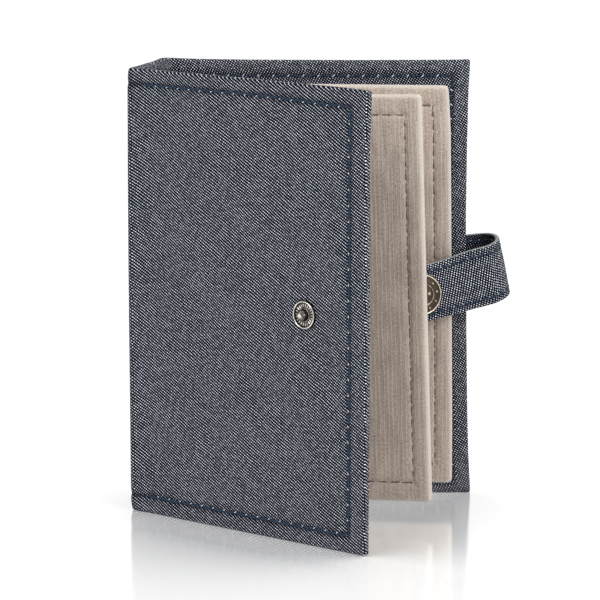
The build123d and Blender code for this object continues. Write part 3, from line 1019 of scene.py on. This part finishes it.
def strap_rows(low, high, around_tail, around_base):
    """The strap's stitched lines along both edges, on both faces."""
    across = strap_half - strap_inset
    rows = []
    for offset in (strap_half_thickness - strap_sunk, strap_sunk - strap_half_thickness):
        for sign in (-1, 1):
            stop = high - tail_radius if around_tail else high
            begin = low + strap_inset if around_base else low
            line = [(s, sign * across, offset) for s in np.linspace(begin, stop, 60)]
            rows.append((strap_point, line, strap_stitch, 0.8))
        if around_tail:
            middle = high - tail_radius
            bend = tail_radius - strap_inset
            flat = across - bend
            turns = np.linspace(0, math.pi / 2, 12)
            arc = [(middle + bend * math.sin(t), flat + bend * math.cos(t), offset) for t in turns]
            arc += [(s, -w, o) for s, w, o in reversed(arc)]
            rows.append((strap_point, arc, strap_stitch, 1.2))
        if around_base:
            line = [(low + strap_inset, w, offset) for w in np.linspace(-across, across, 12)]
            rows.append((strap_point, line, strap_stitch, 1.2))
    return rows


near_rows = strap_rows(-strap_base, strap_cut - 0.2, False, True)
far_rows = strap_rows(strap_cut + 0.2, strap_end, True, False)
for word, rows, bend in (("near", near_rows, near_bend), ("far", far_rows, far_bend)):
    stitches = sewn(f"strap_{word}_stitches", rows, navy_thread, 0.42, 0.06, strap_tick)
    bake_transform(stitches)


# Press stud


def round_piece(name, points, faces, place, material, wear_and_highlight):
    """A piece from points about its own axis."""
    uv = [(points[i][0], points[i][1]) for f in faces for i in f]
    return new_piece(name, put(place, *points.T), faces, uv, material, {"wear_and_highlight": wear_and_highlight})


def polar(name, radii, sides, level, mark, place, material, floor):
    """A round piece: a raised face over a flat back, from a function of radius and angle."""
    angle = np.arange(sides) * 2 * math.pi / sides
    r, t = np.meshgrid(radii, angle, indexing="ij")
    z = level(r, t)
    shell = np.stack([r * np.cos(t), r * np.sin(t), z], -1).reshape(-1, 3)
    rows = len(radii)
    index = np.arange(rows * sides).reshape(rows, sides)
    following = np.roll(index, -1, axis=1)
    quads = np.stack([index[:-1], index[1:], following[1:], following[:-1]], -1).reshape(-1, 4).tolist()
    rim_below = np.stack([r[-1] * np.cos(t[-1]), r[-1] * np.sin(t[-1]), np.full(sides, floor)], -1)
    below = rows * sides + np.arange(sides)
    quads += np.stack([index[-1], below, np.roll(below, -1), following[-1]], -1).tolist()
    points = np.concatenate([shell, rim_below])
    faces = quads + [index[0].tolist(), below[::-1].tolist()]
    wear_and_highlight = np.concatenate([mark(r, t).ravel(), np.full(sides, 0.3)])
    return round_piece(name, points, faces, place, material, wear_and_highlight)


def bump_ring(r, middle, half):
    """A soft ring."""
    return np.clip(1 - ((r - middle) / half) ** 2, 0, 1)


front_cover = moved(0, -hinge_across, 0) @ turned(front_angle, "Z")
stud_place = front_cover @ moved(cover_reach - 27.3, 0, 81.2) @ turned(90, "X") @ moved(0, 0, half_cover)
stud_ribs = 22
stud_rim = 4.62
stud_floor = 0.30
stud_edge = 0.62


def stud_level(r, t):
    """Height of the stud's face: rolled rim, ribbed recess, inner collar, neck and ball."""
    rim = stud_edge + 0.5 * bump_ring(r, stud_rim, 0.42)
    recess = stud_floor + 0.26 * smooth(2.4, 2.75, r) * (0.5 + 0.5 * np.cos(stud_ribs * t))
    face = np.where(r > 4.2, np.maximum(rim, stud_edge), recess)
    face = np.where(r < 2.55, stud_floor + 0.5 * bump_ring(r, 2.3, 0.3), face)
    return np.where(r > 4.95, stud_edge, face)


def stud_mark(r, t):
    """Where the stud is rubbed bright."""
    rib = 0.75 * (0.5 + 0.5 * np.cos(stud_ribs * t)) * smooth(2.6, 2.9, r) * smooth(4.1, 3.7, r)
    return np.clip(0.85 * bump_ring(r, stud_rim, 0.32) + rib + 0.5 * bump_ring(r, 2.35, 0.25), 0, 1)


stud_radii = np.concatenate([[1.0, 1.6, 1.9], np.arange(2.0, 4.2, 0.1), np.arange(4.2, 5.001, 0.05)])
stud_flange = polar("stud_flange", stud_radii, 264, stud_level, stud_mark, stud_place, stud_metal, 0.0)


def lathe(name, profile, sides, place, material, marks):
    """A closed solid of revolution from a profile of radius and height that starts and ends on the axis."""
    profile = np.asarray(profile, float)
    angle = np.arange(sides) * 2 * math.pi / sides
    body = profile[1:-1]
    r, t = np.meshgrid(body[:, 0], angle, indexing="ij")
    z = np.repeat(body[:, 1:2], sides, 1)
    points = np.stack([r * np.cos(t), r * np.sin(t), z], -1).reshape(-1, 3)
    points = np.concatenate([points, [[0, 0, profile[0, 1]], [0, 0, profile[-1, 1]]]])
    index = np.arange(len(body) * sides).reshape(len(body), sides)
    following = np.roll(index, -1, axis=1)
    faces = np.stack([index[:-1], following[:-1], following[1:], index[1:]], -1).reshape(-1, 4).tolist()
    first, last = len(body) * sides, len(body) * sides + 1
    faces += [[first, b, a] for a, b in zip(index[0], following[0])]
    faces += [[last, a, b] for a, b in zip(index[-1], following[-1])]
    wear_and_highlight = np.concatenate([np.repeat(np.asarray(marks, float)[1:-1], sides), [marks[0], marks[-1]]])
    return round_piece(name, points, faces, place, material, wear_and_highlight)


ball_level = 1.95
ball_rise = 1.22
ball_turns = np.radians(np.linspace(-52, 90, 18))
ball = [(2.02 * math.cos(t), ball_level + ball_rise * math.sin(t)) for t in ball_turns]
neck = [(0, 0.2), (1.75, 0.2), (1.62, 0.55), (1.5, 0.9)]
ball_profile = neck + ball[:-1] + [(0, ball_level + ball_rise)]
# The ball's marks are a painted dark reflection over its body and a painted highlight at its crown.
ball_painted_light = [0.0, 0.0, 0.05, 0.1] + list(np.linspace(0.12, 0.3, len(ball) - 4)) + [0.45, 0.8, 0.85, 0.85]
stud_ball = lathe("stud_ball", ball_profile, 96, stud_place, stud_metal, ball_painted_light)
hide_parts("snap_stud")
for piece in (stud_flange, stud_ball):
    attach(piece, "front_cover")

cap_pitch = math.degrees(math.atan(math.sin(curl_turn) * math.tan(strap_droop)))
run_x = curl_radius * math.sin(curl_turn)
run_y = curl_radius * math.cos(curl_turn) - curl_radius
cap_place = (
    fold_place
    @ moved(run_x, run_y, run_y * math.tan(strap_droop))
    @ turned(-math.degrees(curl_turn), "Z")
    @ turned(cap_pitch, "Y")
    @ moved(strap_run, 0, 0)
    @ turned(-90, "X")
    @ moved(0, 0, strap_half_thickness)
)
cap_radius = 7.5
cap_ring = 3.9
pip_circle = 5.45
pip_count = 10


def pip_gap(r, t):
    """Distance from the middle of the nearest pip."""
    pitch = 2 * math.pi / pip_count
    swing = (t + pitch / 2) % pitch - pitch / 2
    return np.hypot(r - pip_circle, pip_circle * swing)


def cap_level(r, t):
    """Height of the cap: a low dome, a rolled rim, a plain ring, a circle of pips and a rosette."""
    dome = 0.95 + 1.15 * (1 - (r / cap_radius) ** 2)
    rim = 0.34 * bump_ring(r, 7.0, 0.36)
    ring = 0.30 * bump_ring(r, cap_ring, 0.38)
    pips = 0.34 * np.clip(1 - (pip_gap(r, t) / 0.62) ** 2, 0, 1)
    groove = -0.10 * bump_ring(r, 6.25, 0.35) - 0.10 * bump_ring(r, 4.5, 0.3)
    return np.where(r > 7.35, 0.62, dome + rim + ring + pips + 0.4 * petals(r, t) + groove)


def petals(r, t):
    """A plain rosette of petals round a small boss."""
    blade = np.clip(np.cos(4 * t), 0, 1) ** 0.7 * np.clip(1 - ((r - 2.1) / 1.25) ** 2, 0, 1)
    return np.maximum(blade, np.clip(1 - (r / 0.8) ** 2, 0, 1))


def cap_mark(r, t):
    """Where the cap is rubbed bright."""
    pips = np.clip(1 - (pip_gap(r, t) / 0.6) ** 2, 0, 1)
    rim = bump_ring(r, 7.05, 0.34)
    raised_parts = np.maximum(0.55 * pips, 0.5 * petals(r, t))
    return np.clip(0.05 + np.maximum(0.95 * rim, raised_parts) + 0.4 * bump_ring(r, cap_ring, 0.35), 0, 1)


cap_radii = np.concatenate([np.arange(0.25, 7.3, 0.14), [7.3, 7.38, 7.46, 7.5]])
cap = polar("strap_cap", cap_radii, 180, cap_level, cap_mark, cap_place, cap_metal, 0.0)
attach(cap, "strap_tip")
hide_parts("snap_cap")

for node in ("snap_eyelet", "snap_socket", "snap_spring"):
    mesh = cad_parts[node].data
    mesh.materials.clear()
    mesh.materials.append(plain_metal)


# Floor, light and world

floor_half = 4.0
floor_drop = 0.00005
floor_mesh = bpy.data.meshes.new("floor")
corners = [(floor_half * x, floor_half * y, -floor_drop) for x, y in ((-1, -1), (1, -1), (1, 1), (-1, 1))]
floor_mesh.from_pydata(corners, [], [(0, 1, 2, 3)])
floor = linked("floor", floor_mesh)


def seen_ray(tree):
    """1 for rays that show a background: from the camera, a mirror or glass."""
    rays = added(tree, "LightPath").outputs
    seen = calc(tree, "MAXIMUM", rays["Is Camera Ray"], rays["Is Glossy Ray"])
    return calc(tree, "MAXIMUM", seen, rays["Is Transmission Ray"])


def blended(tree, share, first, second):
    """A mix of two shader nodes."""
    node = added(tree, "MixShader", Fac=share)
    join(tree, first.outputs[0], node.inputs[1])
    join(tree, second.outputs[0], node.inputs[2])
    return node


floor_material, tree, shader = new_material("white_floor", Roughness=0.5)
shader.inputs["Base Color"].default_value = (0.82, 0.82, 0.82, 1.0)
shader.inputs["Specular IOR Level"].default_value = 0.0
glow = added(tree, "Emission", Strength=1.2)
gloss = added(tree, "BsdfGlossy", Color=(1.0, 1.0, 1.0, 1.0), Roughness=0.12)
# Painted contact shade: where the ambient occlusion node finds the book close, the floor's glow gives way
# to a mirror reflection of the book, so the floor darkens next to the book and fades back to white further
# away.
openness = added(tree, "AmbientOcclusion", Distance=0.36).outputs["AO"]
near_reflection_share = ranged(tree, openness, 0.55, 0.98, 0.76, 0.26)
reflection_share = calc(tree, "SUBTRACT", near_reflection_share, ranged(tree, openness, 0.1, 0.5, 0.12, 0.0))
matte = added(tree, "BsdfDiffuse", Color=(1.0, 1.0, 1.0, 1.0))
ground = blended(tree, 0.12, blended(tree, reflection_share, glow, gloss), matte)
switch = blended(tree, seen_ray(tree), shader, ground)
join(tree, switch.outputs[0], tree.nodes["Material Output"].inputs["Surface"])
floor_mesh.materials.append(floor_material)

world = bpy.data.worlds.new("white_room")
world.use_nodes = True
bpy.context.scene.world = world
tree = world.node_tree
tree.nodes.clear()
soft_light = added(tree, "Background", Strength=0.74)
backdrop = added(tree, "Background", Strength=1.05)
sky = blended(tree, seen_ray(tree), soft_light, backdrop)
join(tree, sky.outputs[0], added(tree, "OutputWorld").inputs["Surface"])


book_middle = Vector((0.04, 0.0, 0.08))


def soft_lamp(name, place, size, power):
    """A large soft lamp turned towards the book."""
    data = bpy.data.lights.new(name, "AREA")
    data.shape = "SQUARE"
    data.size = size
    data.energy = power
    lamp = linked(name, data)
    spot = Vector(place)
    lamp.location = spot
    lamp.rotation_euler = (book_middle - spot).to_track_quat("-Z", "Y").to_euler()


soft_lamp("key_lamp", (-0.55, -1.25, 1.05), 0.9, 13.0)
soft_lamp("side_lamp", (1.35, -0.75, 0.75), 0.8, 20.0)
soft_lamp("top_lamp", (0.30, -0.10, 1.50), 0.8, 8.0)

bpy.context.scene.view_settings.view_transform = "Standard"
